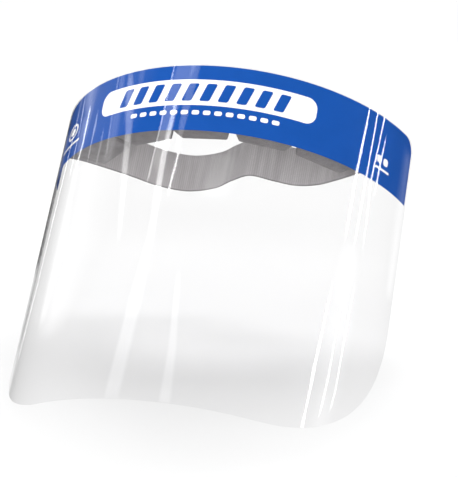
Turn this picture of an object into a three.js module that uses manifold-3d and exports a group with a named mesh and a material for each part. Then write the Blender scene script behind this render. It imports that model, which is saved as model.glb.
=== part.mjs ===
// Disposable face shield: a clear sheet bent round the face, a printed header along its top edge,
// a notched foam strip that rests on the forehead, and an elastic strap that goes round the head.
//
// Millimetres. +Z is up, -Y is forward, and +X is to the right for someone who faces the shield.
// The origin is the centre of the foam's middle block, on the face that touches the forehead.
// The sheet follows a circle in plan. A place on it is given by "along", the distance along the
// bend from the middle, and by a radius from the upright line that it bends round.

import * as THREE from "three";
import { mergeVertices } from "three/addons/utils/BufferGeometryUtils.js";
import Module from "manifold-3d";

const wasm = await Module();
wasm.setup();

// Clear sheet, flat size
const SHEET_WIDTH = 320;
const SHEET_HEIGHT = 220;
const SHEET_THICKNESS = 0.3;
const TOP_CORNER_RADIUS = 10;
const BOTTOM_CORNER_RADIUS = 90;
const BEND_RADIUS = 122;

// Foam strip
const FOAM_DEPTH = 28;
const FOAM_HEIGHT = 30;
const FOAM_DROP = 7.5;
const FOAM_BLOCKS = 5;
const FOAM_BLOCK_PITCH = 46.6;
const FOAM_BLOCK_FACE = 29.4;
const FOAM_WEB = 5;

// Elastic strap
const STRAP_WIDTH = 27;
const STRAP_THICKNESS = 1.2;
const STRAP_BOND_START = 101;
const STRAP_BOND_END = 125;
const FOLD_LENGTH = 4;

// Printed header, and what is printed in it
const HEADER_HEIGHT = 46;
const HEADER_INSET = 0.5;
const PANEL = { along: 0.5, drop: 19.5, width: 148, height: 18, corner: 7 };
const PANEL_CLEARANCE = 0.3;
const NAME_LINE = { along: 0.5, drop: 23, width: 112, height: 1.4, corner: 0.6 };
const RING = { along: -114, drop: 24.4, width: 10.4, height: 10.4, corner: 5.1 };
const RING_HOLE = { along: -114, drop: 24.4, width: 7.6, height: 7.6, corner: 3.7 };
const SIDE_BAR = { along: 128, drop: 33.5, width: 15, height: 3.6, corner: 1.7 };

// Layers behind the sheet
const INK_THICKNESS = 0.1;
const TAPE_THICKNESS = 0.3;
const TAPE_INSET = 2;
const TAPE_CORNER = 1;
const LAYER_GAP = 0.1;
const PIECE_GAP = 0.3;
const SWING_GAP = 0.8;

// Facets
const FACET_LENGTH = 5;
const CORNER_STEPS = 8;
const STRAP_STEP = 2.5;
const STRAP_BOND_STEP = 6;
const SAME_PLACE = 0.001;

// Worked out from the sizes above
const SHEET_TOP = FOAM_HEIGHT / 2 + FOAM_DROP;
const SHEET_BOTTOM = SHEET_TOP - SHEET_HEIGHT;
const BEND_CENTRE_Y = BEND_RADIUS - FOAM_DEPTH;
const MARK_RADIUS = BEND_RADIUS - LAYER_GAP - INK_THICKNESS;
const HEADER_RADIUS = MARK_RADIUS - LAYER_GAP - INK_THICKNESS;
const TAPE_RADIUS = HEADER_RADIUS - LAYER_GAP - TAPE_THICKNESS;
const BACKED_RADIUS = TAPE_RADIUS - LAYER_GAP;
const STRAP_BOND_RADIUS = BACKED_RADIUS - STRAP_THICKNESS / 2;
const FOAM_END_RADIUS = BACKED_RADIUS - STRAP_THICKNESS - PIECE_GAP;
const FOAM_FACE_RADIUS = BEND_RADIUS - FOAM_DEPTH;
const FOAM_HALF_LENGTH = (FOAM_BLOCKS * FOAM_BLOCK_PITCH) / 2;
const FOAM_RELIEF_START = STRAP_BOND_START - 2;

const group = new THREE.Group();

function addPart(name, geometry, look) {
  const mesh = new THREE.Mesh(geometry, new THREE.MeshStandardMaterial(look));
  mesh.name = name;
  group.add(mesh);
}

const clearPlastic = { color: 0xf4f6f6, roughness: 0.05, metalness: 0, transparent: true, opacity: 0.2 };
const blueInk = { color: 0x1d5fb8, roughness: 0.35, metalness: 0 };
const whiteInk = { color: 0xf2f2f0, roughness: 0.4, metalness: 0 };
const greyFoam = { color: 0x787474, roughness: 0.95, metalness: 0 };
const greyElastic = { color: 0xaaa6a7, roughness: 0.85, metalness: 0 };
const paleTape = { color: 0xdcd8cc, roughness: 0.6, metalness: 0 };

// ---- Places on the bend ----

function onBend(along, radius) {
  const angle = along / BEND_RADIUS;
  return new THREE.Vector2(radius * Math.sin(angle), BEND_CENTRE_Y - radius * Math.cos(angle));
}

// Evenly spaced places from one end to the other, both ends included.
function evenSteps(from, to, step) {
  const count = Math.ceil((to - from) / step);
  return Array.from({ length: count + 1 }, (_, index) => from + ((to - from) * index) / count);
}

// How far a rounded corner has dropped away from the straight edge at this distance from the middle.
function cornerDrop(distance, halfWidth, radius) {
  const intoCorner = Math.max(0, Math.abs(distance) - (halfWidth - radius));
  return radius - Math.sqrt(Math.max(0, radius ** 2 - intoCorner ** 2));
}

// Distances from the middle that draw a rounded corner of this radius smoothly.
function cornerSteps(halfWidth, radius) {
  const turns = evenSteps(0, Math.PI / 2, Math.PI / 2 / CORNER_STEPS);
  return turns.map((turn) => halfWidth - radius + radius * Math.sin(turn));
}

// Every distance, on both sides of the middle, where a plate with these corners needs a facet edge.
function plateSteps(halfWidth, radii) {
  const corners = radii.flatMap((radius) => cornerSteps(halfWidth, radius));
  const plain = evenSteps(0, halfWidth, FACET_LENGTH);
  const oneSide = [...plain, ...corners].sort((a, b) => a - b);
  const spaced = oneSide.filter((value, index) => index === 0 || value - oneSide[index - 1] > SAME_PLACE);
  const otherSide = spaced.slice(1).reverse().map((value) => -value);
  return [...otherSide, ...spaced];
}

// ---- Plates that follow the bend ----

// A plate between two heights, which may change along the bend, and between two radii.
function bentPlate(steps, lowAt, highAt, innerRadius, thickness) {
  const positions = [];
  for (const along of steps) {
    for (const radius of [innerRadius, innerRadius + thickness]) {
      const place = onBend(along, radius);
      positions.push(place.x, place.y, lowAt(along), place.x, place.y, highAt(along));
    }
  }
  const indices = [];
  const addQuad = (a, b, c, d) => indices.push(a, b, c, a, c, d);
  const [innerLow, innerHigh, outerLow, outerHigh] = [0, 1, 2, 3];
  for (let here = 0; here < 4 * (steps.length - 1); here += 4) {
    const next = here + 4;
    addQuad(here + outerLow, next + outerLow, next + outerHigh, here + outerHigh);
    addQuad(here + innerLow, here + innerHigh, next + innerHigh, next + innerLow);
    addQuad(here + outerHigh, next + outerHigh, next + innerHigh, here + innerHigh);
    addQuad(here + innerLow, next + innerLow, next + outerLow, here + outerLow);
  }
  const last = 4 * (steps.length - 1);
  addQuad(outerLow, outerHigh, innerHigh, innerLow);
  addQuad(last + innerLow, last + innerHigh, last + outerHigh, last + outerLow);
  const geometry = new THREE.BufferGeometry();
  geometry.setAttribute("position", new THREE.Float32BufferAttribute(positions, 3));
  geometry.setIndex(indices);
  geometry.computeVertexNormals();
  return geometry;
}

// A rounded rectangle on the bend. drop is from the sheet's top edge to the patch's middle.
function bentPatch(patch, innerRadius, thickness, margin = 0) {
  const halfWidth = patch.width / 2 + margin;
  const halfHeight = patch.height / 2 + margin;
  const corner = patch.corner + margin;
  const middle = SHEET_TOP - patch.drop;
  const reach = (along) => halfHeight - cornerDrop(along - patch.along, halfWidth, corner);
  const steps = plateSteps(halfWidth, [corner]).map((offset) => patch.along + offset);
  return bentPlate(steps, (s) => middle - reach(s), (s) => middle + reach(s), innerRadius, thickness);
}

function toSolid(geometry) {
  const bare = geometry.clone();
  bare.deleteAttribute("normal");
  const merged = mergeVertices(bare);
  const vertProperties = new Float32Array(merged.attributes.position.array);
  const triVerts = new Uint32Array(merged.index.array);
  return new wasm.Manifold(new wasm.Mesh({ numProp: 3, vertProperties, triVerts }));
}

function cutAway(geometry, cutter) {
  const mesh = toSolid(geometry).subtract(toSolid(cutter)).getMesh();
  const result = new THREE.BufferGeometry();
  result.setAttribute("position", new THREE.Float32BufferAttribute(mesh.vertProperties, 3));
  result.setIndex(Array.from(mesh.triVerts));
  result.computeVertexNormals();
  return result;
}

function visorSheet() {
  const half = SHEET_WIDTH / 2;
  const steps = plateSteps(half, [TOP_CORNER_RADIUS, BOTTOM_CORNER_RADIUS]);
  const low = (along) => SHEET_BOTTOM + cornerDrop(along, half, BOTTOM_CORNER_RADIUS);
  const high = (along) => SHEET_TOP - cornerDrop(along, half, TOP_CORNER_RADIUS);
  return bentPlate(steps, low, high, BEND_RADIUS, SHEET_THICKNESS);
}

// A cutter of this outline that goes right through both print layers.
function inkHole(patch, margin) {
  const innerRadius = HEADER_RADIUS - LAYER_GAP;
  return bentPatch(patch, innerRadius, BEND_RADIUS + LAYER_GAP - innerRadius, margin);
}

function headerPrint() {
  const half = SHEET_WIDTH / 2 - HEADER_INSET;
  const top = SHEET_TOP - HEADER_INSET;
  const bottom = SHEET_TOP - HEADER_HEIGHT;
  const steps = plateSteps(half, [TOP_CORNER_RADIUS]);
  const high = (along) => top - cornerDrop(along, half, TOP_CORNER_RADIUS);
  const band = bentPlate(steps, () => bottom, high, HEADER_RADIUS, INK_THICKNESS);
  return cutAway(band, inkHole(PANEL, PANEL_CLEARANCE));
}

function ringPrint() {
  const disc = bentPatch(RING, MARK_RADIUS, INK_THICKNESS);
  return cutAway(disc, inkHole(RING_HOLE, 0));
}

function tapePatch(centre, halfLength) {
  const height = STRAP_WIDTH - TAPE_INSET;
  const patch = { along: centre, drop: SHEET_TOP, width: 2 * halfLength, height, corner: TAPE_CORNER };
  return bentPatch(patch, TAPE_RADIUS, TAPE_THICKNESS);
}

// ---- Foam strip ----

// The flat forehead face of one block, as its two corners in plan. The end blocks run on to
// the strip's own end face, which points at the bend's centre line.
function blockFace(index) {
  const centre = index * FOAM_BLOCK_PITCH;
  const angle = centre / BEND_RADIUS;
  const middle = onBend(centre, FOAM_FACE_RADIUS);
  const sideways = new THREE.Vector2(Math.cos(angle), Math.sin(angle));
  const lastBlock = (FOAM_BLOCKS - 1) / 2;
  const halfFace = FOAM_BLOCK_FACE / 2;
  const endFace = FOAM_FACE_RADIUS * Math.tan(FOAM_BLOCK_PITCH / 2 / BEND_RADIUS);
  const right = index === lastBlock ? endFace : halfFace;
  const left = index === -lastBlock ? endFace : halfFace;
  return [
    middle.clone().addScaledVector(sideways, right),
    middle.clone().addScaledVector(sideways, -left),
  ];
}

function foamStrip() {
  const outline = [];
  const addArc = (from, to, radius) => {
    evenSteps(from, to, FACET_LENGTH).forEach((along) => outline.push(onBend(along, radius)));
  };
  addArc(-FOAM_HALF_LENGTH, -FOAM_RELIEF_START, FOAM_END_RADIUS);
  addArc(-FOAM_RELIEF_START, FOAM_RELIEF_START, BACKED_RADIUS);
  addArc(FOAM_RELIEF_START, FOAM_HALF_LENGTH, FOAM_END_RADIUS);
  const lastBlock = (FOAM_BLOCKS - 1) / 2;
  for (let block = lastBlock; block >= -lastBlock; block -= 1) {
    outline.push(...blockFace(block));
    const notch = (block - 0.5) * FOAM_BLOCK_PITCH;
    if (block > -lastBlock) outline.push(onBend(notch, BACKED_RADIUS - FOAM_WEB));
  }
  return upright(outline, FOAM_HEIGHT);
}

// A plan outline given height, centred on the header's middle line.
function upright(outline, height) {
  const geometry = new THREE.ExtrudeGeometry(new THREE.Shape(outline), {
    depth: height,
    bevelEnabled: false,
  });
  geometry.translate(0, 0, -height / 2);
  return geometry;
}

// ---- Strap ----

// The strap's centre line in plan, seen from above. Each end is bonded behind the sheet, folds
// back past the end of the foam, and the slack between them waves behind the shield.
function strapCentreLine() {
  const bonded = evenSteps(STRAP_BOND_START, STRAP_BOND_END, STRAP_BOND_STEP);
  const leftBond = bonded.map((along) => onBend(-along, STRAP_BOND_RADIUS).toArray());
  const rightBond = bonded.map((along) => onBend(along, STRAP_BOND_RADIUS).toArray()).reverse();
  const foldAndSlack = [
    [-102.9, 33.9], [-100.4, 35.2], [-93.8, 37.8], [-86.3, 42.4],
    [-67.2, 55.6], [-50.1, 69.1], [-31.5, 75.3], [-10.5, 68.8],
    [3.9, 57.1], [18, 49], [32.1, 55.2], [45.3, 60.2],
    [59.7, 58.4], [75.2, 49.9], [93.8, 37.8],
    [100.4, 35.2], [102.9, 33.9],
  ];
  const points = [...leftBond, ...foldAndSlack, ...rightBond];
  return new THREE.CatmullRomCurve3(points.map(([x, y]) => new THREE.Vector3(x, y, 0)));
}

const ARC_LENGTH_DIVISIONS = 2000;
const strapLine = strapCentreLine();
strapLine.arcLengthDivisions = ARC_LENGTH_DIVISIONS;
const strapLength = strapLine.getLength();

// The distance along the strap at which its centre line reaches this x, between the two folds.
function strapDistanceAtX(x) {
  const pastFold = STRAP_BOND_END - STRAP_BOND_START + FOLD_LENGTH;
  const slackSteps = evenSteps(pastFold, strapLength - pastFold, STRAP_THICKNESS / 4);
  return slackSteps.find((distance) => strapLine.getPointAt(distance / strapLength).x >= x);
}

function strapPiece(from, to) {
  const places = evenSteps(from, to, STRAP_STEP);
  const edge = (side) => places.map((distance) => {
    const point = strapLine.getPointAt(distance / strapLength);
    const tangent = strapLine.getTangentAt(distance / strapLength);
    const offset = (side * STRAP_THICKNESS) / 2;
    return new THREE.Vector2(point.x - tangent.y * offset, point.y + tangent.x * offset);
  });
  return upright([...edge(-1), ...edge(1).reverse()], STRAP_WIDTH);
}

// Where the strap's folded ends meet its two side runs, and where those meet the back. The gap
// is wider at the folds, where the runs swing up and down past the ends.
const FOLD_X = 95.5;
const BACK_LEFT_X = -50;
const BACK_RIGHT_X = 60;
const strapCuts = [
  { at: 0, gap: 0 },
  { at: strapDistanceAtX(-FOLD_X), gap: SWING_GAP },
  { at: strapDistanceAtX(BACK_LEFT_X), gap: PIECE_GAP },
  { at: strapDistanceAtX(BACK_RIGHT_X), gap: PIECE_GAP },
  { at: strapDistanceAtX(FOLD_X), gap: SWING_GAP },
  { at: strapLength, gap: 0 },
];
const strapNames = ["strap_end_left", "strap_left_run", "strap_back", "strap_right_run", "strap_end_right"];

// ---- The shield ----

const TAPE_HALF_LENGTH = FOAM_RELIEF_START - TAPE_INSET;
const BOND_MIDDLE = (STRAP_BOND_START + FOAM_HALF_LENGTH) / 2;
const BOND_HALF_LENGTH = (FOAM_HALF_LENGTH - STRAP_BOND_START) / 2;

addPart("visor_sheet", visorSheet(), clearPlastic);
addPart("header_print", headerPrint(), blueInk);
addPart("name_panel_print", bentPatch(PANEL, HEADER_RADIUS, INK_THICKNESS), whiteInk);
addPart("name_line_print", bentPatch(NAME_LINE, MARK_RADIUS, INK_THICKNESS), blueInk);
addPart("ring_mark_print", ringPrint(), whiteInk);
addPart("side_bar_print", bentPatch(SIDE_BAR, MARK_RADIUS, INK_THICKNESS), whiteInk);
addPart("forehead_foam", foamStrip(), greyFoam);
addPart("foam_tape", tapePatch(0, TAPE_HALF_LENGTH), paleTape);
addPart("strap_tape_left", tapePatch(-BOND_MIDDLE, BOND_HALF_LENGTH), paleTape);
addPart("strap_tape_right", tapePatch(BOND_MIDDLE, BOND_HALF_LENGTH), paleTape);
strapNames.forEach((name, index) => {
  const start = strapCuts[index];
  const end = strapCuts[index + 1];
  addPart(name, strapPiece(start.at + start.gap / 2, end.at - end.gap / 2), greyElastic);
});

export default group;
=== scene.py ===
"""Looks of the face shield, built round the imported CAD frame. Metres, +Z up, -Y forward."""

import math

import bpy
import numpy as np
from mathutils import Matrix, Vector, noise


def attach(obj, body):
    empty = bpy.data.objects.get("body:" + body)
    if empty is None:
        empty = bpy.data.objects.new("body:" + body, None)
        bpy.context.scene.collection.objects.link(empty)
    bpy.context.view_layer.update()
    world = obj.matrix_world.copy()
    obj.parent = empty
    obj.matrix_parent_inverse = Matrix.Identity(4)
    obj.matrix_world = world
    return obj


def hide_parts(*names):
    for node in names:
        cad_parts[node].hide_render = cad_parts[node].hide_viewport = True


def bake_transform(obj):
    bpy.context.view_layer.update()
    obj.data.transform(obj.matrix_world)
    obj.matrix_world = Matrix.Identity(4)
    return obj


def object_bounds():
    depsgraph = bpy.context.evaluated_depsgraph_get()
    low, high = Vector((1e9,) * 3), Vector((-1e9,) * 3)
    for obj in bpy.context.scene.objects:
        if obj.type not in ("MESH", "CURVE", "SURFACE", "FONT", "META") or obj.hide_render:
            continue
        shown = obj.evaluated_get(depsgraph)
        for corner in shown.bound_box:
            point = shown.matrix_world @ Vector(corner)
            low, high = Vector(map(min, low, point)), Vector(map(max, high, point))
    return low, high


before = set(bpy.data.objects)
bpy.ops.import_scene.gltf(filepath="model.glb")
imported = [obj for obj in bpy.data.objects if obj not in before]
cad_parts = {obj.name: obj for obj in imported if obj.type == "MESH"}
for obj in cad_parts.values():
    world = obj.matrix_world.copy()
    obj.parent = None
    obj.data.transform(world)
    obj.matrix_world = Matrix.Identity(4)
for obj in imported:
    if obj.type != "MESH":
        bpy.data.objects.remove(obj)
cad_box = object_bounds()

# ---- Driving dimensions, in metres: the same design as the CAD part ----

SHEET_WIDTH = 0.320
SHEET_HEIGHT = 0.220
SHEET_THICKNESS = 0.0003
TOP_CORNER = 0.010
BOTTOM_CORNER = 0.090
BEND_RADIUS = 0.122
SHEET_TOP = 0.0225
SHEET_BOTTOM = SHEET_TOP - SHEET_HEIGHT

FOAM_DEPTH = 0.028
FOAM_HEIGHT = 0.030
FOAM_BLOCKS = 5
FOAM_PITCH = 0.0466
FOAM_FACE = 0.0294
FOAM_WEB = 0.005
FOAM_ENDS_RADIUS = 0.1196
FOAM_BACKED_RADIUS = 0.1211
FOAM_RELIEF_START = 0.099

STRAP_WIDTH = 0.027
STRAP_THICKNESS = 0.0012
STRAP_BOND = (0.101, 0.125)
STRAP_BOND_STEP = 0.006
STRAP_BOND_RADIUS = 0.1205

HEADER_HEIGHT = 0.046
HEADER_INSET = 0.0005
PANEL_ALONG = 0.0005
PANEL_DROP = 0.0195
PANEL_SIZE = (0.148, 0.018)
PANEL_CORNER = 0.007
INK_THICKNESS = 0.0001
MARK_RADIUS = 0.12185
HEADER_RADIUS = 0.12165

BEND_CENTRE_Y = BEND_RADIUS - FOAM_DEPTH

# How finely the bent plates are divided, and the tiny widths that keep their faces apart
PLATE_STEP = 0.002
PATCH_STEP = 0.001
CORNER_TURN_STEP = math.pi / 40
CLOSEST_STEPS = 0.00005
THINNEST_REACH = 0.00002
WINDOW_STEP_WIDTH = 0.00001
SHEET_ROWS = 60
HEADER_ROWS = 6
PATCH_ROWS = 4
RING_TURNS = 48

# The strap's slack, seen from above, from the left fold to the right one.
STRAP_SLACK = [
    (-0.1029, 0.0339), (-0.1004, 0.0352), (-0.0938, 0.0378), (-0.0863, 0.0424),
    (-0.0672, 0.0556), (-0.0501, 0.0691), (-0.0315, 0.0753), (-0.0105, 0.0688),
    (0.0039, 0.0571), (0.0180, 0.0490), (0.0321, 0.0552), (0.0453, 0.0602),
    (0.0597, 0.0584), (0.0752, 0.0499), (0.0938, 0.0378),
    (0.1004, 0.0352), (0.1029, 0.0339),
]


# ---- Places on the bend ----

def on_bend(along, radius):
    """Plan position (x, y) at a distance along the bend from the middle, on a circle of this radius."""
    angle = along / BEND_RADIUS
    return radius * math.sin(angle), BEND_CENTRE_Y - radius * math.cos(angle)


def even(start, end, step):
    """Evenly spaced places from start to end, no further apart than the step."""
    count = max(1, math.ceil((end - start) / step - 1e-9))
    return [start + (end - start) * i / count for i in range(count + 1)]


def corner_drop(distance, half_width, radius):
    """How far a rounded corner takes an edge in, at a distance from the plate's middle."""
    into = max(0.0, abs(distance) - (half_width - radius))
    return radius - math.sqrt(max(0.0, radius ** 2 - into ** 2))


def plate_steps(half_width, radii, step):
    """Distances from the middle for a plate, closer together where a corner curves."""
    places = set(round(v, 6) for v in even(-half_width, half_width, step))
    for radius in radii:
        for turn in even(0, math.pi / 2, CORNER_TURN_STEP):
            place = round(half_width - radius + radius * math.sin(turn), 6)
            places.update((place, -place))
    ordered = sorted(places)
    kept = [ordered[0]]
    for place in ordered[1:-1]:
        if place - kept[-1] > CLOSEST_STEPS and ordered[-1] - place > CLOSEST_STEPS:
            kept.append(place)
    return kept + [ordered[-1]]


def centred_row(count, pitch):
    """Places of things in a row, either side of its middle."""
    return [pitch * (i - (count - 1) / 2) for i in range(count)]


# ---- Mesh helpers ----

def new_object(name, vertices, faces, uvs=None):
    """A mesh in the scene. uvs has one pair for each vertex."""
    mesh = bpy.data.meshes.new(name)
    mesh.from_pydata(vertices, [], faces)
    if uvs is not None:
        layer = mesh.uv_layers.new(name="UVMap")
        loops = np.empty(len(mesh.loops), dtype=np.int32)
        mesh.loops.foreach_get("vertex_index", loops)
        layer.data.foreach_set("uv", np.array(uvs, dtype=np.float32)[loops].ravel())
    mesh.validate()
    obj = bpy.data.objects.new(name, mesh)
    bpy.context.scene.collection.objects.link(obj)
    return obj


def apply_modifiers(obj):
    """Puts the modified mesh in place of the object's own, with no modifiers left."""
    depsgraph = bpy.context.evaluated_depsgraph_get()
    mesh = bpy.data.meshes.new_from_object(obj.evaluated_get(depsgraph), depsgraph=depsgraph)
    obj.modifiers.clear()
    obj.data = mesh


def smooth(obj, degrees=35):
    """Shades the faces smoothly, except across edges that are sharper than this."""
    obj.data.polygons.foreach_set("use_smooth", [True] * len(obj.data.polygons))
    obj.data.set_sharp_from_angle(angle=math.radians(degrees))
    obj.data.update()


def thicken(obj, thickness, rim_material=0):
    """Gives a surface its thickness, half on each side of it."""
    solid = obj.modifiers.new("thickness", "SOLIDIFY")
    solid.thickness = thickness
    solid.offset = 0
    solid.material_offset_rim = rim_material
    apply_modifiers(obj)
    smooth(obj)


def bent_shell(name, steps, low_at, high_at, middle_radius, thickness, rows, rim_material=0):
    """A thin plate that follows the bend, with thickness both ways from its middle radius."""
    vertices, uvs, faces = [], [], []
    for along in steps:
        x, y = on_bend(along, middle_radius)
        for row in range(rows + 1):
            z = low_at(along) + (high_at(along) - low_at(along)) * row / rows
            vertices.append((x, y, z))
            uvs.append((along, z))
    for i in range(len(steps) - 1):
        for row in range(rows):
            a = i * (rows + 1) + row
            b = a + rows + 1
            faces.append((a, b, b + 1, a + 1))
    obj = new_object(name, vertices, faces, uvs)
    thicken(obj, thickness, rim_material)
    return obj


def bent_patch(name, along, drop, size, corner, middle_radius, slant=0.0):
    """A rounded rectangle printed on the bend. slant leans its sides, as a share of its height."""
    half_width, half_height = size[0] / 2, size[1] / 2
    steps = plate_steps(half_width, [corner], PATCH_STEP)
    middle = SHEET_TOP - drop
    reach = {s: max(half_height - corner_drop(s, half_width, corner), THINNEST_REACH) for s in steps}
    obj = bent_shell(name, steps, lambda s: middle - reach[s], lambda s: middle + reach[s],
                     middle_radius, INK_THICKNESS, PATCH_ROWS)
    for vertex in obj.data.vertices:
        centre_y = vertex.co.y - BEND_CENTRE_Y
        radius = math.hypot(vertex.co.x, centre_y)
        place = math.atan2(vertex.co.x, -centre_y) * BEND_RADIUS
        place += along + slant * (vertex.co.z - middle)
        vertex.co.x, vertex.co.y = on_bend(place, radius)
    return obj


def bent_ring(name, along, drop, outer, inner, middle_radius):
    """An oval printed ring. outer and inner are its half sizes (along, up)."""
    vertices, uvs, faces = [], [], []
    for i in range(RING_TURNS):
        angle = 2 * math.pi * i / RING_TURNS
        for half_along, half_up in (inner, outer):
            place = along + half_along * math.cos(angle)
            z = SHEET_TOP - drop + half_up * math.sin(angle)
            vertices.append((*on_bend(place, middle_radius), z))
            uvs.append((place, z))
        a, b = 2 * i, 2 * ((i + 1) % RING_TURNS)
        faces.append((a, a + 1, b + 1, b))
    obj = new_object(name, vertices, faces, uvs)
    thicken(obj, INK_THICKNESS)
    return obj


def joined(name, objects):
    """One object holding the meshes of several."""
    vertices, faces = [], []
    for obj in objects:
        base = len(vertices)
        vertices += [tuple(v.co) for v in obj.data.vertices]
        faces += [tuple(base + i for i in p.vertices) for p in obj.data.polygons]
        bpy.data.objects.remove(obj)
    result = new_object(name, vertices, faces)
    smooth(result)
    return result


# ---- Materials ----

class Nodes:
    """Short way to make and link a material's nodes."""

    def __init__(self, name):
        self.material = bpy.data.materials.new(name)
        self.material.use_nodes = True
        self.tree = self.material.node_tree
        self.tree.nodes.clear()
        self.output = self.add("ShaderNodeOutputMaterial")

    def add(self, kind, **values):
        """A new node. Each value goes to the input of that name or else is a setting."""
        node = self.tree.nodes.new(kind)
        for key, value in values.items():
            if key in node.inputs:
                node.inputs[key].default_value = value
            else:
                setattr(node, key, value)
        return node

    def link(self, source, target):
        self.tree.links.new(source, target)

    def texture(self, kind, scale=(1, 1, 1), coordinates="Object", **values):
        """A texture whose pattern is stretched by scale along each axis."""
        where = self.add("ShaderNodeTexCoord")
        mapping = self.add("ShaderNodeMapping")
        mapping.inputs["Scale"].default_value = scale
        node = self.add(kind, **values)
        self.link(where.outputs[coordinates], mapping.inputs["Vector"])
        self.link(mapping.outputs["Vector"], node.inputs["Vector"])
        return node

    def ramp(self, source, stops):
        """A colour for each value of the source, from stops of (value, colour)."""
        ramp = self.add("ShaderNodeValToRGB")
        elements = ramp.color_ramp.elements
        while len(elements) < len(stops):
            elements.new(0.5)
        for element, (position, colour) in zip(elements, stops):
            element.position = position
            element.color = (*colour, 1)
        self.link(source, ramp.inputs["Fac"])
        return ramp.outputs["Color"]

    def calculate(self, operation, *terms):
        """The result of a sum on its terms, each a number or another node's output."""
        node = self.add("ShaderNodeMath", operation=operation)
        for term, socket in zip(terms, node.inputs):
            if isinstance(term, float):
                socket.default_value = term
            else:
                self.link(term, socket)
        return node.outputs["Value"]

    def multiply_colours(self, first, second, factor=1.0):
        """The first colour darkened by the second, by a share of the full effect."""
        mix = self.add("ShaderNodeMix", data_type="RGBA", blend_type="MULTIPLY")
        mix.inputs["Factor"].default_value = factor
        self.link(first, mix.inputs["A"])
        self.link(second, mix.inputs["B"])
        return mix.outputs["Result"]

    def mix_shaders(self, share, first, second):
        """The first shader where the share is 0 and the second where it is 1."""
        mix = self.add("ShaderNodeMixShader")
        self.link(share, mix.inputs["Fac"])
        self.link(first.outputs["BSDF"], mix.inputs[1])
        self.link(second.outputs["BSDF"], mix.inputs[2])
        return mix.outputs["Shader"]

    def texture_place(self, axis):
        """One axis of the UV map."""
        where = self.add("ShaderNodeTexCoord")
        parts = self.add("ShaderNodeSeparateXYZ")
        self.link(where.outputs["UV"], parts.inputs["Vector"])
        return parts.outputs[axis]

    def bump(self, height, strength, distance):
        """Surface relief from a height."""
        bump = self.add("ShaderNodeBump", Strength=strength, Distance=distance)
        self.link(height, bump.inputs["Height"])
        return bump.outputs["Normal"]

    def principled(self, **values):
        """The main shader. A space in an input's name is written as an underline."""
        shader = self.add("ShaderNodeBsdfPrincipled")
        for key, value in values.items():
            shader.inputs[key.replace("_", " ")].default_value = value
        return shader

    def finish(self, shader):
        """The finished material, with this shader as its surface."""
        self.link(shader, self.output.inputs["Surface"])
        return self.material


def clear_film_material():
    """Clear polyester: what is behind shows through, and lights show as sharp streaks."""
    nodes = Nodes("clear_film")
    waves = nodes.texture("ShaderNodeTexNoise", scale=(9, 9, 2.5), Scale=1.0, Detail=1.0, Roughness=0.4)
    normal = nodes.bump(waves.outputs["Fac"], 0.03, 0.002)
    haze = nodes.texture("ShaderNodeTexNoise", scale=(40, 40, 12), Scale=1.0, Detail=4.0)
    roughness = nodes.add("ShaderNodeMapRange")
    roughness.inputs["To Min"].default_value = 0.02
    roughness.inputs["To Max"].default_value = 0.06
    nodes.link(haze.outputs["Fac"], roughness.inputs["Value"])
    gloss = nodes.add("ShaderNodeBsdfGlossy")
    gloss.inputs["Color"].default_value = (1, 1, 1, 1)
    nodes.link(roughness.outputs["Result"], gloss.inputs["Roughness"])
    nodes.link(normal, gloss.inputs["Normal"])
    through = nodes.add("ShaderNodeBsdfTransparent")
    through.inputs["Color"].default_value = (0.985, 0.984, 0.985, 1)
    edge_on = nodes.add("ShaderNodeFresnel", IOR=1.6)
    geometry = nodes.add("ShaderNodeNewGeometry")
    facing = nodes.calculate("SUBTRACT", 1.0, geometry.outputs["Backfacing"])
    share = nodes.calculate("MULTIPLY", edge_on.outputs["Fac"], facing)
    return nodes.finish(nodes.mix_shaders(share, through, gloss))


def cut_edge_material():
    """The sheet's cut edge, which scatters light and looks frosted."""
    nodes = Nodes("cut_edge")
    grain = nodes.texture("ShaderNodeTexNoise", scale=(900, 900, 900), Scale=1.0, Detail=3.0)
    colour = nodes.ramp(grain.outputs["Fac"], [(0.3, (0.62, 0.64, 0.66)), (0.7, (0.9, 0.91, 0.92))])
    shader = nodes.principled(Roughness=0.35)
    nodes.link(colour, shader.inputs["Base Color"])
    nodes.link(nodes.bump(grain.outputs["Fac"], 0.3, 0.0001), shader.inputs["Normal"])
    return nodes.finish(shader.outputs["BSDF"])


def ink_material(name, dark, light, roughness):
    """Printed ink: an even colour with the faint mottle and the fine screen of a press."""
    nodes = Nodes(name)
    mottle = nodes.texture("ShaderNodeTexNoise", scale=(55, 55, 55), Scale=1.0, Detail=5.0,
                           Roughness=0.6)
    colour = nodes.ramp(mottle.outputs["Fac"], [(0.3, dark), (0.7, light)])
    screen = nodes.texture("ShaderNodeTexVoronoi", scale=(4500, 4500, 4500), Scale=1.0)
    shader = nodes.principled(Roughness=roughness)
    shader.inputs["Specular IOR Level"].default_value = 0.05
    nodes.link(colour, shader.inputs["Base Color"])
    nodes.link(nodes.bump(screen.outputs["Distance"], 0.12, 0.00003), shader.inputs["Normal"])
    return nodes.finish(shader.outputs["BSDF"])


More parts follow.
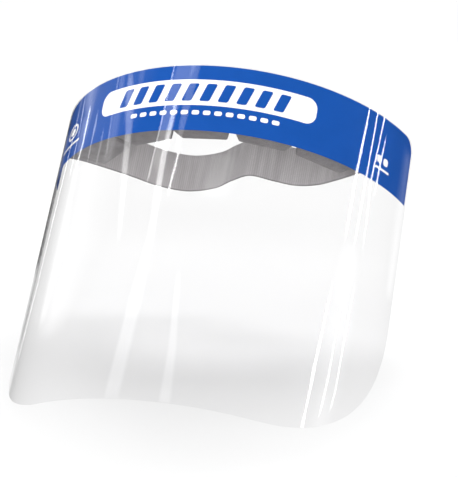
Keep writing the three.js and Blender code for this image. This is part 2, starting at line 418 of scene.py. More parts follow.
def foam_material():
    """Open-cell foam: matte, with small dark pores in a grey body."""
    nodes = Nodes("open_cell_foam")
    cells = nodes.texture("ShaderNodeTexVoronoi", scale=(1400, 1400, 1400), Scale=1.0, Randomness=1.0)
    coarse = nodes.texture("ShaderNodeTexNoise", scale=(160, 160, 160), Scale=1.0, Detail=6.0,
                           Roughness=0.65)
    body = nodes.ramp(coarse.outputs["Fac"], [(0.3, (0.150, 0.140, 0.142)), (0.7, (0.21, 0.198, 0.202))])
    pores = nodes.ramp(cells.outputs["Distance"], [(0.1, (0.45, 0.45, 0.45)), (0.42, (1, 1, 1))])
    colour = nodes.multiply_colours(body, pores, 0.75)
    shader = nodes.principled(Roughness=0.95, Sheen_Weight=0.15, Sheen_Roughness=0.6)
    shader.inputs["Specular IOR Level"].default_value = 0.15
    nodes.link(colour, shader.inputs["Base Color"])
    nodes.link(nodes.bump(cells.outputs["Distance"], 0.7, 0.0004), shader.inputs["Normal"])
    return nodes.finish(shader.outputs["BSDF"])


RIB_PITCH = 0.0014
YARN_PITCH = 0.0009
ONE_BAND = math.pi / 10  # the wave texture's scale that draws one band in each unit
# Painted shade: how dark both long edges of the strap are made, standing in for the shade that falls on
# them.
STRAP_EDGE_PAINTED_SHADE = (0.6, 0.6, 0.6)


def elastic_material():
    """Ribbed woven elastic. The UV map runs in metres, along the strap and across it."""
    nodes = Nodes("woven_elastic")
    ribs = nodes.texture("ShaderNodeTexWave", scale=(1 / RIB_PITCH, 1, 1), coordinates="UV",
                         Scale=ONE_BAND, Distortion=0.0)
    ribs.bands_direction = "X"
    yarns = nodes.texture("ShaderNodeTexWave", scale=(1, 1 / YARN_PITCH, 1), coordinates="UV",
                          Scale=ONE_BAND, Distortion=0.0)
    yarns.bands_direction = "Y"
    weave = nodes.calculate("MULTIPLY", ribs.outputs["Fac"], yarns.outputs["Fac"])
    fuzz = nodes.texture("ShaderNodeTexNoise", scale=(3000, 3000, 3000), Scale=1.0, Detail=3.0)
    relief = nodes.calculate("MULTIPLY_ADD", fuzz.outputs["Fac"], 0.35, weave)
    colour = nodes.ramp(relief, [(0.1, (0.312, 0.297, 0.300)), (0.9, (0.416, 0.400, 0.404))])
    stretch = nodes.texture("ShaderNodeTexNoise", scale=(160, 20, 1), coordinates="UV",
                            Scale=1.0, Detail=3.0, Roughness=0.6)
    uneven = nodes.ramp(stretch.outputs["Fac"], [(0.35, (0.80, 0.80, 0.80)), (0.65, (1, 1, 1))])
    mottled = nodes.multiply_colours(colour, uneven)
    # Painted shade: both long edges of the strap are darkened in its colour, in place of the shade on
    # its edges.
    height = nodes.calculate("ABSOLUTE", nodes.texture_place("Y"))
    share = nodes.calculate("DIVIDE", height, STRAP_WIDTH / 2)
    painted_edge_shade = nodes.ramp(share, [(0.945, (1, 1, 1)), (0.985, STRAP_EDGE_PAINTED_SHADE)])
    shader = nodes.principled(Roughness=0.85, Sheen_Weight=0.3, Sheen_Roughness=0.5)
    shader.inputs["Specular IOR Level"].default_value = 0.2
    nodes.link(nodes.multiply_colours(mottled, painted_edge_shade), shader.inputs["Base Color"])
    nodes.link(nodes.bump(relief, 0.3, 0.00015), shader.inputs["Normal"])
    return nodes.finish(shader.outputs["BSDF"])


def tape_material():
    """Double-sided tape: creamy film with a faint crinkle."""
    nodes = Nodes("double_sided_tape")
    crinkle = nodes.texture("ShaderNodeTexNoise", scale=(300, 300, 60), Scale=1.0, Detail=4.0)
    colour = nodes.ramp(crinkle.outputs["Fac"], [(0.3, (0.6, 0.56, 0.48)), (0.7, (0.72, 0.68, 0.6))])
    shader = nodes.principled(Roughness=0.55)
    nodes.link(colour, shader.inputs["Base Color"])
    nodes.link(nodes.bump(crinkle.outputs["Fac"], 0.3, 0.0001), shader.inputs["Normal"])
    return nodes.finish(shader.outputs["BSDF"])


# ---- Pieces that ride on the visor ----

def finish_piece(obj, body, slot, materials, *nodes):
    """Gives a piece its materials and body, and hides the CAD nodes that it stands for. slot is not
    used.
    """
    obj.data.materials.clear()
    for material in materials:
        obj.data.materials.append(material)
    if nodes:
        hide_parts(*nodes)
    if body:
        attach(obj, body)
    return obj


def make_sheet():
    """The clear sheet, with a frosted cut edge. The photo shows no shadow of the film itself."""
    half = SHEET_WIDTH / 2
    steps = plate_steps(half, [TOP_CORNER, BOTTOM_CORNER], PLATE_STEP)
    obj = bent_shell(
        "clear_visor_sheet", steps,
        lambda s: SHEET_BOTTOM + corner_drop(s, half, BOTTOM_CORNER),
        lambda s: SHEET_TOP - corner_drop(s, half, TOP_CORNER),
        BEND_RADIUS + SHEET_THICKNESS / 2, SHEET_THICKNESS, SHEET_ROWS, rim_material=1)
    rims = [p.material_index for p in obj.data.polygons]
    materials = [clear_film_material(), cut_edge_material()]
    finish_piece(obj, "visor", "clear_sheet", materials, "visor_sheet")
    obj.data.polygons.foreach_set("material_index", rims)
    obj.visible_shadow = False
    return obj


def make_header():
    """The blue band, in a lower and an upper strip that meet beside the panel's window."""
    half = SHEET_WIDTH / 2 - HEADER_INSET
    middle = SHEET_TOP - PANEL_DROP
    window_half = PANEL_SIZE[0] / 2
    window_reach = PANEL_SIZE[1] / 2

    def gap(along):
        """Half the window's height at a place along the bend."""
        offset = along - PANEL_ALONG
        if abs(offset) > window_half:
            return 0.0
        return window_reach - corner_drop(offset, window_half, PANEL_CORNER)

    steps = set(plate_steps(half, [TOP_CORNER], PLATE_STEP))
    steps.update(PANEL_ALONG + offset for offset in plate_steps(window_half, [PANEL_CORNER], PLATE_STEP))
    steps.add(PANEL_ALONG - window_half - WINDOW_STEP_WIDTH)
    steps.add(PANEL_ALONG + window_half + WINDOW_STEP_WIDTH)
    steps = sorted(steps)
    low = bent_shell("low_strip", steps, lambda s: SHEET_TOP - HEADER_HEIGHT,
                     lambda s: middle - gap(s), HEADER_RADIUS, INK_THICKNESS, HEADER_ROWS)
    high = bent_shell("high_strip", steps, lambda s: middle + gap(s),
                      lambda s: SHEET_TOP - HEADER_INSET - corner_drop(s, half, TOP_CORNER),
                      HEADER_RADIUS, INK_THICKNESS, HEADER_ROWS)
    return joined("blue_header", [low, high])


# What is printed in place of the photo's lettering and symbols: places are (distance along the bend,
# drop from the sheet's top edge) and sizes are (along, up).
BAR_COUNT = 10
BAR_PITCH = 0.0115
BAR_SIZE = (0.0064, 0.0122)
BAR_CORNER = 0.0012
BAR_SLANT = 0.3
DASH_COUNT = 14
DASH_PITCH = 0.0071
DASH_ALONG = 0.004
DASH_DROP = 0.0337
DASH_SIZE = (0.0047, 0.0030)
DASH_CORNER = 0.0012
RING_PLACE = (-0.1105, 0.0256)
RING_OUTER = (0.0085, 0.0058)
RING_INNER = (0.0064, 0.0044)
DOT_OUTER = (0.0040, 0.0026)
DOT_INNER = (0.0004, 0.0003)
TAB_ALONG = 0.1285
TAB_DROP = 0.0295
TAB_COUNT = 2
TAB_PITCH = 0.0062
TAB_SIZE = (0.0044, 0.0050)
TAB_CORNER = 0.0016
SIDE_BAR_PLACE = (0.1292, 0.0356)
SIDE_BAR_SIZE = (0.0135, 0.0016)
SIDE_BAR_CORNER = 0.0007
UNDERLINE_PLACE = (-0.1115, 0.0354)
UNDERLINE_SIZE = (0.030, 0.0016)
UNDERLINE_CORNER = 0.0007


def make_prints(blue, white):
    """The blue band, the panel in its window, and the plain marks printed on both."""
    finish_piece(make_header(), "visor", "blue_ink", [blue], "header_print")
    panel = bent_patch("white_panel", PANEL_ALONG, PANEL_DROP, PANEL_SIZE, PANEL_CORNER, HEADER_RADIUS)
    finish_piece(panel, "visor", "white_ink", [white], "name_panel_print")
    bars = [
        bent_patch("bar", PANEL_ALONG + offset, PANEL_DROP, BAR_SIZE, BAR_CORNER, MARK_RADIUS, BAR_SLANT)
        for offset in centred_row(BAR_COUNT, BAR_PITCH)
    ]
    finish_piece(joined("panel_bars", bars), "visor", "blue_ink", [blue], "name_line_print")
    dashes = [
        bent_patch("dash", DASH_ALONG + offset, DASH_DROP, DASH_SIZE, DASH_CORNER, MARK_RADIUS)
        for offset in centred_row(DASH_COUNT, DASH_PITCH)
    ]
    finish_piece(joined("dash_row", dashes), "visor", "white_ink", [white])
    rings = [
        bent_ring("ring", *RING_PLACE, RING_OUTER, RING_INNER, MARK_RADIUS),
        bent_ring("dot", *RING_PLACE, DOT_OUTER, DOT_INNER, MARK_RADIUS),
        bent_patch("underline", *UNDERLINE_PLACE, UNDERLINE_SIZE, UNDERLINE_CORNER, MARK_RADIUS),
    ]
    finish_piece(joined("ring_mark", rings), "visor", "white_ink", [white], "ring_mark_print")
    tabs = [
        bent_patch("tab", TAB_ALONG + offset, TAB_DROP, TAB_SIZE, TAB_CORNER, MARK_RADIUS)
        for offset in centred_row(TAB_COUNT, TAB_PITCH)
    ]
    tabs.append(bent_patch("bar", *SIDE_BAR_PLACE, SIDE_BAR_SIZE, SIDE_BAR_CORNER, MARK_RADIUS))
    finish_piece(joined("side_marks", tabs), "visor", "white_ink", [white], "side_bar_print")


FOAM_ARC_STEP = 0.004
FOAM_VOXEL = 0.0011
FOAM_UNEVEN_DEPTH = 0.00018
FOAM_UNEVEN_SCALE = 420


def make_foam():
    """Five blocks on one web, cut by V notches, with softened edges and a slightly uneven surface."""
    outline = []
    half_length = FOAM_BLOCKS * FOAM_PITCH / 2

    def add_arc(start, end, radius):
        outline.extend(on_bend(s, radius) for s in even(start, end, FOAM_ARC_STEP))

    add_arc(-half_length, -FOAM_RELIEF_START, FOAM_ENDS_RADIUS)
    add_arc(-FOAM_RELIEF_START, FOAM_RELIEF_START, FOAM_BACKED_RADIUS)
    add_arc(FOAM_RELIEF_START, half_length, FOAM_ENDS_RADIUS)
    last = (FOAM_BLOCKS - 1) // 2
    face_radius = BEND_RADIUS - FOAM_DEPTH
    for block in range(last, -last - 1, -1):
        angle = block * FOAM_PITCH / BEND_RADIUS
        x, y = on_bend(block * FOAM_PITCH, face_radius)
        end_half = face_radius * math.tan(FOAM_PITCH / 2 / BEND_RADIUS)
        right = end_half if block == last else FOAM_FACE / 2
        left = end_half if block == -last else FOAM_FACE / 2
        outline.append((x + math.cos(angle) * right, y + math.sin(angle) * right))
        outline.append((x - math.cos(angle) * left, y - math.sin(angle) * left))
        if block > -last:
            outline.append(on_bend((block - 0.5) * FOAM_PITCH, FOAM_BACKED_RADIUS - FOAM_WEB))
    count = len(outline)
    half = FOAM_HEIGHT / 2
    vertices = [(x, y, -half) for x, y in outline] + [(x, y, half) for x, y in outline]
    faces = [tuple(reversed(range(count))), tuple(range(count, 2 * count))]
    faces += [(i, (i + 1) % count, (i + 1) % count + count, i + count) for i in range(count)]
    obj = new_object("foam_strip", vertices, faces)
    remesh = obj.modifiers.new("remesh", "REMESH")
    remesh.mode = "VOXEL"
    remesh.voxel_size = FOAM_VOXEL
    soften = obj.modifiers.new("soften", "SMOOTH")
    soften.factor = 0.5
    soften.iterations = 3
    apply_modifiers(obj)
    roughen(obj, FOAM_UNEVEN_DEPTH, FOAM_UNEVEN_SCALE)
    smooth(obj, degrees=180)
    finish_piece(obj, "visor", "foam", [foam_material()], "forehead_foam")
    return obj


def roughen(obj, depth, scale):
    """Moves each vertex along its normal by a fixed noise, so that the surface isn't dead flat."""
    mesh = obj.data
    normals = [v.normal.copy() for v in mesh.vertices]
    for vertex, normal in zip(mesh.vertices, normals):
        vertex.co += normal * (depth * noise.noise(vertex.co * scale))
    mesh.update()


# ---- Strap ----

def strap_points():
    """The strap seen from above: a bonded end, the slack, and the other bonded end."""
    bonded = even(STRAP_BOND[0], STRAP_BOND[1], STRAP_BOND_STEP)
    left = [on_bend(-s, STRAP_BOND_RADIUS) for s in bonded]
    right = [on_bend(s, STRAP_BOND_RADIUS) for s in reversed(bonded)]
    return np.array(left + STRAP_SLACK + right)


def smooth_line(points, divisions):
    """A centripetal Catmull-Rom curve through the points."""
    ends = (2 * points[0] - points[1], 2 * points[-1] - points[-2])
    padded = np.vstack([ends[0], points, ends[1]])
    result = []
    for i in range(1, len(padded) - 2):
        p0, p1, p2, p3 = padded[i - 1:i + 3]
        d0, d1, d2 = (np.linalg.norm(b - a) ** 0.5 for a, b in ((p0, p1), (p1, p2), (p2, p3)))
        m1 = ((p1 - p0) / d0 - (p2 - p0) / (d0 + d1) + (p2 - p1) / d1) * d1
        m2 = ((p2 - p1) / d1 - (p3 - p1) / (d1 + d2) + (p3 - p2) / d2) * d1
        for t in np.linspace(0, 1, divisions, endpoint=False):
            h00, h10 = 2 * t ** 3 - 3 * t ** 2 + 1, t ** 3 - 2 * t ** 2 + t
            h01, h11 = -2 * t ** 3 + 3 * t ** 2, t ** 3 - t ** 2
            result.append(h00 * p1 + h10 * m1 + h01 * p2 + h11 * m2)
    result.append(padded[-2])
    return np.array(result)


CURVE_DIVISIONS = 60
STRAP_STEP = RIB_PITCH / 4
RIB_DEPTH = 0.00003

# The strap's section, from each edge inwards: a selvedge of full thickness, a shallow groove, and a
# web between the two grooves. A share is of the strap's thickness.
SELVEDGE_WIDTH = 0.0012
GROOVE_FROM_EDGE = 0.0018
GROOVE_SHARE = 0.82
WEB_FROM_EDGE = 0.0024
WEB_SHARE = 0.9
WEB_HEIGHTS = (0, 0.003, 0.006, 0.009)
RIM_TURN_STEP = math.pi / 8


def strap_line():
    """The strap's centre line, evenly spaced: places along it, points and directions."""
    curve = smooth_line(strap_points(), CURVE_DIVISIONS)
    lengths = np.concatenate([[0], np.cumsum(np.linalg.norm(np.diff(curve, axis=0), axis=1))])
    places = np.arange(0, lengths[-1], STRAP_STEP)
    xs = np.interp(places, lengths, curve[:, 0])
    ys = np.interp(places, lengths, curve[:, 1])
    points = np.stack([xs, ys], axis=1)
    directions = np.gradient(points, axis=0)
    directions /= np.linalg.norm(directions, axis=1)[:, None]
    return places, points, directions


def strap_section():
    """Half the strap's section, from its lower edge to its upper edge: (height, half thickness)."""
    half_width, half_thick = STRAP_WIDTH / 2, STRAP_THICKNESS / 2
    rounded = [(half_width - half_thick * (1 - math.sin(t)), half_thick * math.cos(t))
               for t in even(0, math.pi / 2, RIM_TURN_STEP)]
    groove = [(half_width - GROOVE_FROM_EDGE, half_thick * GROOVE_SHARE),
              (half_width - SELVEDGE_WIDTH, half_thick)]
    web = [(h, half_thick * WEB_SHARE) for h in (*WEB_HEIGHTS, half_width - WEB_FROM_EDGE)]
    upper = web + groove + rounded
    lower = [(-h, t) for h, t in reversed(upper[1:])]
    return lower + upper


def strap_mesh(name, line, start, end):
    """The band between two indices of the centre line, with cross ribs and closed ends."""
    places, points, directions = line
    section = strap_section()
    loop = [(h, t) for h, t in section] + [(h, -t) for h, t in reversed(section[1:-1])]
    vertices, uvs, faces = [], [], []
    for i in range(start, end + 1):
        rib = RIB_DEPTH * math.sin(2 * math.pi * places[i] / RIB_PITCH)
        normal = (-directions[i][1], directions[i][0])
        for height, out in loop:
            raised = out + rib * out / (STRAP_THICKNESS / 2)
            x, y = points[i][0] + normal[0] * raised, points[i][1] + normal[1] * raised
            vertices.append((x, y, height))
            uvs.append((places[i], height))
    size = len(loop)
    for i in range(end - start):
        for j in range(size):
            a, b = i * size + j, i * size + (j + 1) % size
            faces.append((a, b, b + size, a + size))
    faces.append(tuple(reversed(range(size))))
    faces.append(tuple(range((end - start) * size, (end - start + 1) * size)))
    obj = new_object(name, vertices, faces, uvs)
    smooth(obj, degrees=60)
    return obj


# The strap is cut into pieces where it passes the deeper of these two depths (y). The valley of its
# waves lies between two places across (x). The crest shares set blend places that are handed to the
# pieces, which don't use them.
SWING_BLEND = (0.030, 0.044)
VALLEY_REACH = (0, 0.04)
LEFT_CREST_SHARE = 0.689
RIGHT_CREST_SHARE = 0.79


def make_strap():
    """One continuous band, built in six pieces."""
    elastic = elastic_material()
    line = strap_line()
    points = line[1]
    fold = SWING_BLEND[1]
    valley_zone = [i for i in range(len(points)) if VALLEY_REACH[0] < points[i][0] < VALLEY_REACH[1]]
    valley = min(valley_zone, key=lambda i: points[i][1])
    crest_left = max(range(valley), key=lambda i: points[i][1])
    crest_right = max(range(valley, len(points)), key=lambda i: points[i][1])
    run_left = next(i for i in range(len(points)) if points[i][1] > fold)
    run_right = next(i for i in range(len(points) - 1, 0, -1) if points[i][1] > fold)
    low_y = points[valley][1]

    def end_beyond(crest_y, share):
        """Where a blend that starts at the fold would end, for its share at the crest."""
        return fold + (crest_y - fold) / share

    def start_beyond(crest_y, share):
        """Where a blend that ends at the valley would start, for its share at the crest."""
        return (crest_y - share * low_y) / (1 - share)

    def piece(name, start, end, bodies, blend_start, blend_end, *nodes):
        """A length of the strap with its material, fixed in place. bodies, blend_start and blend_end are
        not used.
        """
        obj = strap_mesh(name, line, start, end)
        finish_piece(obj, None, "elastic", [elastic], *nodes)
        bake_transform(obj)

    swing, stretch = ("visor", "strap"), ("strap", "strap_loop")
    left_y, right_y = points[crest_left][1], points[crest_right][1]
    left, right = LEFT_CREST_SHARE, RIGHT_CREST_SHARE
    piece("strap_bend_left", 0, run_left, swing, *SWING_BLEND, "strap_end_left")
    piece("strap_side_left", run_left, crest_left, stretch,
          fold, end_beyond(left_y, left), "strap_left_run")
    piece("strap_back_left", crest_left, valley, stretch,
          start_beyond(left_y, left), low_y, "strap_back")
    piece("strap_back_right", valley, crest_right, stretch,
          start_beyond(right_y, right), low_y, "strap_back")
    piece("strap_side_right", crest_right, run_right, stretch,
          fold, end_beyond(right_y, right), "strap_right_run")
    piece("strap_bend_right", run_right, len(points) - 1, swing, *SWING_BLEND, "strap_end_right")


# ---- Camera, stage and light ----

SENSOR = 36.0
LENS = 128.18868
CAMERA_PLACE = Vector((0.30964, -0.88785, -0.49429))
CAMERA_FORWARD = Vector((-0.27726, 0.87121, 0.40512))
CAMERA_RIGHT = Vector((0.95948, 0.22897, 0.16425))


def make_camera():
    """The photo's camera, fitted to the shield's outline: in front, below and to the right."""
    data = bpy.data.cameras.new("camera")
    data.lens = LENS
    data.sensor_width = SENSOR
    camera = bpy.data.objects.new("camera", data)
    up = CAMERA_RIGHT.cross(CAMERA_FORWARD)
    turn = Matrix((CAMERA_RIGHT, up, -CAMERA_FORWARD)).transposed()
    camera.matrix_world = Matrix.Translation(CAMERA_PLACE) @ turn.to_4x4()
    bpy.context.scene.collection.objects.link(camera)
    bpy.context.scene.camera = camera


AMBIENT_LIGHT = 0.36
GLOSSY_LIGHT = 0.05


def make_world():
    """White to the camera, softer as a lamp, and dark to gloss, where the glowing cards show."""
    world = bpy.data.worlds.new("studio")
    bpy.context.scene.world = world
    world.use_nodes = True
    nodes = world.node_tree.nodes
    links = world.node_tree.links
    nodes.clear()
    path = nodes.new("ShaderNodeLightPath")

    def plain(strength):
        background = nodes.new("ShaderNodeBackground")
        background.inputs["Color"].default_value = (1, 1, 1, 1)
        background.inputs["Strength"].default_value = strength
        return background.outputs["Background"]

    def choose(ray, otherwise, chosen):
        mix = nodes.new("ShaderNodeMixShader")
        links.new(path.outputs[ray], mix.inputs["Fac"])
        links.new(otherwise, mix.inputs[1])
        links.new(chosen, mix.inputs[2])
        return mix.outputs["Shader"]

    lamp = choose("Is Glossy Ray", plain(AMBIENT_LIGHT), plain(GLOSSY_LIGHT))
    output = nodes.new("ShaderNodeOutputWorld")
    links.new(choose("Is Camera Ray", lamp, plain(1.0)), output.inputs["Surface"])


def area_light(name, location, target, size, power):
    """A rectangular lamp that faces a target."""
    data = bpy.data.lights.new(name, "AREA")
    data.shape = "RECTANGLE"
    data.size, data.size_y = size
    data.energy = power
    lamp = bpy.data.objects.new(name, data)
    aim = (Vector(target) - Vector(location)).to_track_quat("-Z", "Y")
    lamp.matrix_world = Matrix.Translation(location) @ aim.to_matrix().to_4x4()
    bpy.context.scene.collection.objects.link(lamp)
    return lamp


def mirrored_from(along, height, distance):
    """The point, this far from the sheet, that the camera sees mirrored at a place on the sheet."""
    x, y = on_bend(along, BEND_RADIUS)
    spot = Vector((x, y, height))
    angle = along / BEND_RADIUS
    normal = Vector((math.sin(angle), -math.cos(angle), 0))
    ray = (spot - CAMERA_PLACE).normalized()
    return spot + (ray - 2 * ray.dot(normal) * normal) * distance


STREAK_DISTANCE = 2.0
STREAK_ROWS = 6
STREAK_FACET = 0.005
STREAK_END = 0.08

# Glowing cards, each by the reflection that it makes on the sheet: (distance along the bend, drop
# from the top edge, width) at places down the streak, in millimetres, then brightness and softness.
STREAKS = {
    "right_first": ([(111.1, -4, 1.5), (108.0, 48, 1.5), (107.2, 93, 0.9)], 20, 0.3),
    "right_first_low": ([(102.5, 125, 0.6), (99.5, 175, 1.5), (96.6, 224, 2.2)], 16, 0.35),
    "right_second": ([(118.2, -4, 1.2), (116.1, 47, 1.2), (114.5, 95, 0.6)], 19, 0.3),
    "right_second_low": ([(111.5, 135, 0.6), (109.6, 183, 1.2), (107.5, 205, 0.6)], 14, 0.5),
    "right_third": ([(124.8, -4, 1.2), (120.4, 46, 1.2), (121.9, 90, 0.6)], 15, 0.3),
    "right_third_low": ([(119.5, 120, 0.6), (116.7, 186, 1.2), (114.5, 200, 0.6)], 12, 0.5),
    "right_fourth": ([(128.0, 12, 0.6), (126.4, 30, 1.0), (125.2, 54, 1.0)], 14, 0.3),
    "right_glow": ([(112, 90, 14), (112, 140, 26), (110, 190, 24), (108, 222, 14)], 0.9, 0.9),
    "right_edge": ([(154, 8, 14), (154, 60, 16), (154, 115, 10)], 0.6, 0.9),
    "middle_thin": ([(-19.2, -4, 1.2), (-20.2, 30, 1.2), (-21.6, 84, 1.0)], 7, 0.3),
    "middle_haze": ([(-10.0, -6, 16.0), (-14.0, 16, 12.0), (-15.8, 34, 9.5), (-16.3, 50, 9.0),
                     (-18.0, 74, 5.0)], 1.9, 0.3),
    "middle_sheen": ([(22.0, 60, 20.0), (22.0, 72, 28.0), (20.0, 90, 24.0)], 1.4, 0.8),
    "middle_wide": ([(-13.3, 22, 2.0), (-14.0, 45, 4.0), (-14.1, 70, 5.0), (-13.0, 100, 5.0)], 8, 0.5),
    "middle_fan": ([(-13.0, 80, 4.5), (-12.0, 120, 6.0), (-13.6, 159, 10.0),
                    (-16.4, 224, 11.0)], 1.6, 0.4),
    "middle_second": ([(-4.6, 56, 0.8), (-5.4, 70, 1.5), (-6.6, 90, 1.5)], 12, 0.3),
    "middle_pale": ([(-4.6, -4, 7.0), (-6.0, 30, 6.0), (-6.4, 60, 3.0)], 1.8, 0.4),
    "middle_low": ([(9.3, 140, 3), (14.3, 188, 6.0), (15.8, 224, 8.5)], 1.5, 0.5),
    "left_base": ([(-68, -6, 80), (-68, 30, 74), (-74, 56, 60)], 0.4, 0.4),
    "left_veil": ([(-80, 50, 60), (-74, 62, 66), (-72, 110, 58), (-76, 180, 30)], 0.85, 0.9),
    "left_thin_first": ([(-63.0, -4, 1.6), (-61.0, 30, 2.2), (-58.0, 60, 1.6)], 1.6, 0.6),
    "left_thin_second": ([(-101.0, 2, 1.4), (-97.5, 30, 2.0), (-96.0, 64, 1.2)], 1.8, 0.6),
    "left_thin_third": ([(-77.5, 22, 1.4), (-76.5, 34, 4.0), (-76.5, 46, 2.0),
                         (-76.0, 60, 1.4)], 2.2, 0.7),
    "left_pale_first": ([(-107.0, -6, 8.0), (-107.0, 12, 6.0), (-105.0, 24, 4.0)], 0.35, 0.8),
    "left_pale_second": ([(-60.0, -6, 5.0), (-57.0, 20, 7.0), (-56.0, 44, 10.0),
                          (-57.0, 66, 10.0)], 0.9, 0.6),
    "left_pale_third": ([(-66.5, 38, 1.6), (-66.0, 50, 3.0), (-66.0, 66, 1.6)], 1.3, 0.6),
    "left_pale_fourth": ([(-43.5, -6, 7.0), (-42.0, 8, 5.0), (-42.0, 14, 3.0)], 0.8, 0.6),
    "left_band": ([(-53.5, -4, 3.6), (-47.0, 26, 9.0), (-43.7, 42, 6.5), (-39.8, 70, 5.6),
                   (-33.0, 120, 3.0)], 2.5, 0.5),
    "left_band_low": ([(-43.7, 46, 5.0), (-41.5, 60, 5.6), (-39.5, 78, 5.0)], 2.2, 0.5),
    "left_broad": ([(-93.0, -10, 26), (-91.0, 8, 20), (-88.0, 20, 12), (-87.0, 40, 6)], 0.9, 0.9),
    "left_end": ([(-124.0, 20, 20), (-124.0, 40, 24), (-123.0, 56, 16)], 0.15, 0.9),
    "left_bright": ([(-88.5, 14, 1.5), (-88.0, 28, 2.6), (-87.4, 42, 2.8), (-89.5, 62, 1.4)], 4.5, 0.5),
    "left_skirt": ([(-94.0, 20, 6), (-92.0, 34, 10), (-90.0, 50, 6)], 0.5, 0.9),
    "left_glow": ([(-90.2, 50, 8), (-86.3, 117, 16), (-88.8, 170, 10)], 0.6, 0.9),
    "left_rim": ([(-107.0, 10, 0.8), (-108.0, 54, 1.2), (-111.0, 131, 1.2),
                  (-118.0, 190, 1.0)], 2.5, 0.5),
    "left_low": ([(-134.0, 112, 34), (-134.0, 150, 34), (-134.0, 226, 34)], 0.75, 0.5),
}


def streak_material(name, brightness, softness):
    """Light that fades out at both edges and both ends of its card, and adds to what is behind it."""
    nodes = Nodes(name)
    black, white = (0, 0, 0), (1, 1, 1)

    def faded(axis, edge):
        """Light along one axis of the card, which fades over this share of it at each end."""
        return nodes.ramp(nodes.texture_place(axis),
                          [(0, black), (edge, white), (1 - edge, white), (1, black)])

    glow = nodes.add("ShaderNodeEmission", Strength=brightness)
    both = nodes.multiply_colours(faded("X", 0.5 * softness), faded("Y", STREAK_END))
    nodes.link(both, glow.inputs["Color"])
    behind = nodes.add("ShaderNodeBsdfTransparent")
    total = nodes.add("ShaderNodeAddShader")
    nodes.link(glow.outputs["Emission"], total.inputs[0])
    nodes.link(behind.outputs["BSDF"], total.inputs[1])
    return nodes.finish(total.outputs["Shader"])


def make_streak(name, places, brightness, softness):
    """A card of light shaped so that its mirror image on the sheet is the streak."""
    vertices, uvs, faces = [], [], []
    marks = np.array(places, float) / 1000
    spread = np.linspace(0, len(marks) - 1, STREAK_ROWS * (len(marks) - 1) + 1)
    alongs, drops, widths = [np.interp(spread, range(len(marks)), marks[:, i]) for i in range(3)]
    total = drops[-1] - drops[0]
    shares = np.linspace(0, 1, 2 + int(max(widths) / STREAK_FACET))
    for along, drop, width in zip(alongs, drops, widths):
        for across in shares:
            spot = along + (across - 0.5) * width
            vertices.append(mirrored_from(spot, SHEET_TOP - drop, STREAK_DISTANCE))
            uvs.append((across, (drop - drops[0]) / total))
    for row in range(len(spread) - 1):
        for first in range(row * len(shares), (row + 1) * len(shares) - 1):
            below = first + len(shares)
            faces.append((first, first + 1, below + 1, below))
    card = new_object("streak_" + name, vertices, faces, uvs)
    card.data.materials.append(streak_material("streak_" + name, brightness, softness))
    card.visible_camera = False
    card.visible_diffuse = False
    card.visible_transmission = False
    card.visible_shadow = False


# In the photo the shield stands on the floor and leans back. It is upright in this frame, so here
# the floor leans instead.
FLOOR_NORMAL = Vector((0.047, -0.706, 0.707)).normalized()
FLOOR_BACK = FLOOR_NORMAL.cross(Vector((1, 0, 0))).normalized()
FLOOR_SIDE = FLOOR_BACK.cross(FLOOR_NORMAL)
FLOOR_HALF_SIZE = 2.5

# Each soft lamp: how far it stands from the shield above the floor, towards the back and to the
# right, its size in metres and its power in watts.
SOFTBOXES = {
    "overhead_softbox": ((3.0, 1.7, 0.1), (3.2, 2.8), 172),
    "front_softbox": ((0.8, -2.1, 0.9), (3.0, 1.4), 53),
    "left_softbox": ((0.6, -0.8, -2.4), (1.6, 1.6), 42),
}


def make_lights():
    """The glowing cards, and soft lamps that neither the camera nor any gloss shows."""
    for name, (places, brightness, softness) in STREAKS.items():
        make_streak(name, places, brightness, softness)
    centre = (cad_box[0] + cad_box[1]) / 2
    for name, ((above, back, side), size, power) in SOFTBOXES.items():
        place = centre + FLOOR_NORMAL * above + FLOOR_BACK * back + FLOOR_SIDE * side
        lamp = area_light(name, place, centre, size, power)
        lamp.visible_glossy = False
        lamp.visible_camera = False


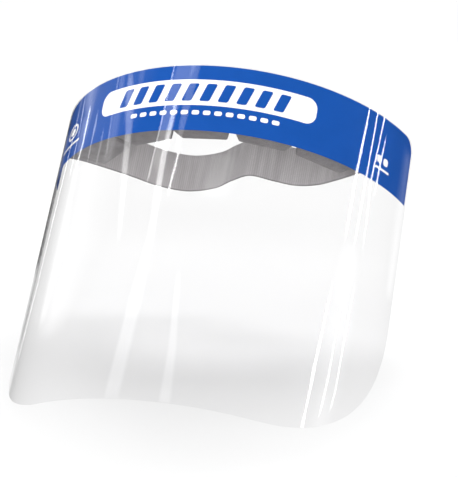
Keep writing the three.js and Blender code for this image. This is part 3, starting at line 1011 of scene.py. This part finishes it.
def floor_material(name, fade=None):
    """Pale paper seen from above only. fade is (centre, start, end): it thins out round that centre."""
    nodes = Nodes(name)
    grain = nodes.texture("ShaderNodeTexNoise", scale=(6, 6, 6), Scale=1.0, Detail=3.0)
    stops = [(0.3, (0.64, 0.64, 0.64)), (0.7, (0.655, 0.655, 0.655))]
    colour = nodes.ramp(grain.outputs["Fac"], stops)
    shader = nodes.principled(Roughness=0.7)
    nodes.link(colour, shader.inputs["Base Color"])
    through = nodes.add("ShaderNodeBsdfTransparent")
    geometry = nodes.add("ShaderNodeNewGeometry")
    hidden = geometry.outputs["Backfacing"]
    if fade:
        centre, start, end = fade
        distance = nodes.add("ShaderNodeVectorMath", operation="DISTANCE")
        distance.inputs[1].default_value = centre
        nodes.link(geometry.outputs["Position"], distance.inputs[0])
        share = nodes.add("ShaderNodeMapRange", interpolation_type="SMOOTHSTEP")
        share.inputs["From Min"].default_value = start
        share.inputs["From Max"].default_value = end
        nodes.link(distance.outputs["Value"], share.inputs["Value"])
        hidden = nodes.calculate("MAXIMUM", hidden, share.outputs["Result"])
    return nodes.finish(nodes.mix_shaders(hidden, shader, through))


def floor_plane(name, foot, half_size, material):
    """A square of the leaning floor round its foot, facing up."""
    corners = [foot + (FLOOR_SIDE * a + FLOOR_BACK * b) * half_size for a, b in
               ((-1, -1), (1, -1), (1, 1), (-1, 1))]
    obj = new_object(name, corners, [(0, 1, 2, 3)])
    if obj.data.polygons[0].normal.dot(FLOOR_NORMAL) < 0:
        obj.data.flip_normals()
    obj.data.materials.append(material)
    obj.visible_glossy = False
    return obj


FLOOR_GAP = 0.0005
MAT_CENTRE = (0.02, -0.03)
MAT_FADE = (0.25, 1.3)


def make_floor(standing):
    """Under the lowest vertex of the standing piece, a wide floor that only sheds light, and on it
    the round mat that the camera sees, which fades out into the white."""
    level = min(FLOOR_NORMAL.dot(v.co) for v in standing.data.vertices) - FLOOR_GAP
    foot = FLOOR_NORMAL * level
    wide = floor_plane("floor_light", foot, FLOOR_HALF_SIZE, floor_material("floor_light"))
    wide.visible_camera = False
    side, back = MAT_CENTRE
    centre = foot + FLOOR_NORMAL * (FLOOR_GAP / 2) + FLOOR_SIDE * side + FLOOR_BACK * back
    faded = floor_material("floor_mat", (centre, *MAT_FADE))
    mat = floor_plane("floor_mat", centre, FLOOR_HALF_SIZE, faded)
    mat.visible_diffuse = False
    mat.visible_shadow = False


# ---- Build ----

blue_ink = ink_material("blue_ink", (0.0075, 0.0745, 0.338), (0.009, 0.0815, 0.370), 0.4)
white_ink = ink_material("white_ink", (0.86, 0.86, 0.86), (0.92, 0.92, 0.915), 0.45)
tape = tape_material()

make_camera()
sheet = make_sheet()
make_prints(blue_ink, white_ink)
make_foam()
make_strap()
for name in ("foam_tape", "strap_tape_left", "strap_tape_right"):
    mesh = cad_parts[name].data
    mesh.materials.clear()
    mesh.materials.append(tape)
make_world()
make_lights()
make_floor(sheet)
bpy.context.scene.view_settings.view_transform = "Standard"
